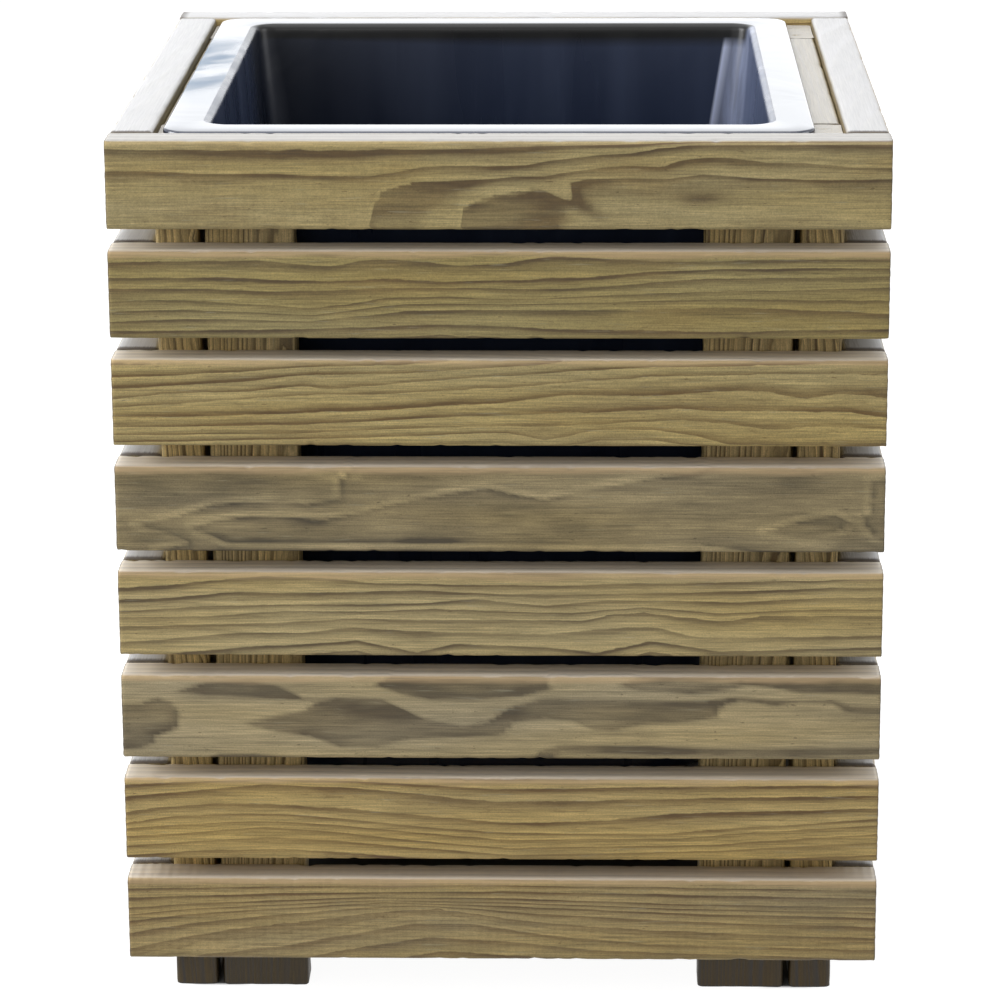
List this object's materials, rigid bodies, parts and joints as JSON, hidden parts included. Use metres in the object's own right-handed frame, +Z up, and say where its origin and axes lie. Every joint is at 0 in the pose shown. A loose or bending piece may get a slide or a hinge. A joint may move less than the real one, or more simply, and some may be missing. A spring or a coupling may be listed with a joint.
{
  "type": "square planter",
  "caption": "Square slatted wooden planter on corner legs, with a rimmed tub liner that lifts out for planting.",
  "frame": {"origin": "on the ground under the middle of the box", "axes": "+Z up, +X to the right and +Y to the back as seen from the front"},
  "size_m": [0.5, 0.5, 0.5895],
  "materials": {
    "slat": "planed softwood, weather treated, greenish brown",
    "leg_batten": "planed softwood, weather treated",
    "inner_board": "planed softwood, weather treated",
    "liner": "high gloss, near black with a blue cast",
    "screws": "passivated"
  },
  "bodies": {
    "frame": {"back_left_leg_face_batten": "leg_batten", "back_left_leg_side_batten": "leg_batten", "back_right_leg_face_batten": "leg_batten", "back_right_leg_side_batten": "leg_batten", "back_slat_1": "slat", "back_slat_2": "slat", "back_slat_3": "slat", "back_slat_4": "slat", "back_slat_5": "slat", "back_slat_6": "slat", "back_slat_7": "slat", "back_slat_8": "slat", "back_slat_screws": "screws", "bearer_screws": "screws", "corner_screws": "screws", "floor_board_1": "inner_board", "floor_board_2": "inner_board", "floor_board_3": "inner_board", "floor_board_4": "inner_board", "floor_board_5": "inner_board", "floor_screws": "screws", "front_left_leg_face_batten": "leg_batten", "front_left_leg_side_batten": "leg_batten", "front_right_leg_face_batten": "leg_batten", "front_right_leg_side_batten": "leg_batten", "front_slat_1": "slat", "front_slat_2": "slat", "front_slat_3": "slat", "front_slat_4": "slat", "front_slat_5": "slat", "front_slat_6": "slat", "front_slat_7": "slat", "front_slat_8": "slat", "front_slat_screws": "screws", "left_floor_bearer": "inner_board", "left_rim_rail": "inner_board", "left_slat_1": "slat", "left_slat_2": "slat", "left_slat_3": "slat", "left_slat_4": "slat", "left_slat_5": "slat", "left_slat_6": "slat", "left_slat_7": "slat", "left_slat_8": "slat", "left_slat_screws": "screws", "rail_screws": "screws", "right_floor_bearer": "inner_board", "right_rim_rail": "inner_board", "right_slat_1": "slat", "right_slat_2": "slat", "right_slat_3": "slat", "right_slat_4": "slat", "right_slat_5": "slat", "right_slat_6": "slat", "right_slat_7": "slat", "right_slat_8": "slat", "right_slat_screws": "screws"},
    "liner": {"liner": "liner"}
  },
  "joints": [
    {"name": "liner_lift", "type": "slide", "parent": "frame", "child": "liner", "axis": [0, 0, 1], "range_m": [0, 0.5]}
  ]
}
